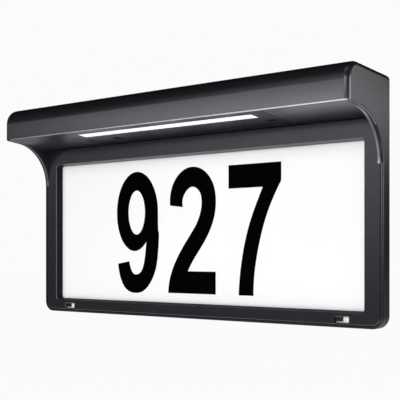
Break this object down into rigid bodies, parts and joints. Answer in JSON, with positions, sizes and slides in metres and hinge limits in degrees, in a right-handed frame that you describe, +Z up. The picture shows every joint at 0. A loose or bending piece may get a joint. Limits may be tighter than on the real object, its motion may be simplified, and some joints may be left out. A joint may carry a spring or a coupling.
{
  "type": "illuminated house number sign",
  "caption": "Wall sign with a hooded number panel: a strip light in the hood's ceiling lights stick-on digits, and two sliding catches hold the front frame.",
  "frame": {"origin": "centre of the sign's flat back, on the wall face", "axes": "+X to the viewer's right along the width, +Y into the wall, +Z up"},
  "size_m": [0.32, 0.0525, 0.1654],
  "materials": {
    "housing_black": "fine matt moulded plastic",
    "liner_black": "fine matt moulded plastic",
    "frame_black": "fine matt moulded plastic",
    "plate_white": "smooth white sheet",
    "film_black": "flat black film",
    "catch_white": "moulded natural white",
    "catch_black": "moulded",
    "lens_white": "frosted diffusing plastic",
    "glass_clear": "clear cover of the solar panel",
    "cell_dark": "dark solar cells",
    "board_green": "circuit board",
    "board_white": "white circuit board",
    "component_dark": "moulded components",
    "led_yellow": "light source package",
    "reflector_white": "reflective white",
    "button_black": "soft button",
    "steel": "plated steel",
    "steel_black": "blackened steel",
    "cell_sleeve": "sleeved metal can",
    "holder_black": "moulded tray",
    "seal_black": "soft rubber",
    "foam_grey": "soft foam",
    "lead_red": "lead insulation",
    "lead_black": "lead insulation"
  },
  "bodies": {
    "sign_body": {"outer_housing": "housing_black", "hood_liner": "liner_black", "cheek_inserts": "liner_black", "front_frame": "frame_black", "number_plate": "plate_white", "digit_nine": "film_black", "digit_two": "film_black", "digit_seven": "film_black", "plate_pads": "foam_grey", "light_cover": "liner_black", "light_cover_screws": "steel_black", "light_lens": "lens_white", "led_reflector": "reflector_white", "led_board": "board_white", "leds": "led_yellow", "button_switch": "component_dark", "control_board": "board_green", "board_parts": "component_dark", "board_screws": "steel", "battery_cells": "cell_sleeve", "battery_holder": "holder_black", "battery_contacts": "steel", "back_cover": "liner_black", "back_screws": "steel_black", "cover_gasket": "seal_black", "solar_glass": "glass_clear", "solar_cells": "cell_dark", "solar_backing": "board_white", "solar_seal": "seal_black", "solar_lead": "lead_red", "battery_lead": "lead_red", "led_lead": "lead_black"},
    "catch_left": {"catch_slide_left": "catch_white", "catch_nib_left": "catch_black"},
    "catch_right": {"catch_slide_right": "catch_white", "catch_nib_right": "catch_black"},
    "mode_button": {"mode_button": "button_black", "switch_plunger": "component_dark"}
  },
  "joints": [
    {"name": "catch_left_slide", "type": "slide", "parent": "sign_body", "child": "catch_left", "axis": [1, 0, 0], "range_m": [0, 0.005]},
    {"name": "catch_right_slide", "type": "slide", "parent": "sign_body", "child": "catch_right", "axis": [1, 0, 0], "range_m": [0, 0.005]},
    {"name": "mode_button_press", "type": "slide", "parent": "sign_body", "child": "mode_button", "axis": [0, 0.1043, 0.9945], "range_m": [0, 0.001], "stiffness_N_per_m": 600, "springref_m": -0.001}
  ]
}
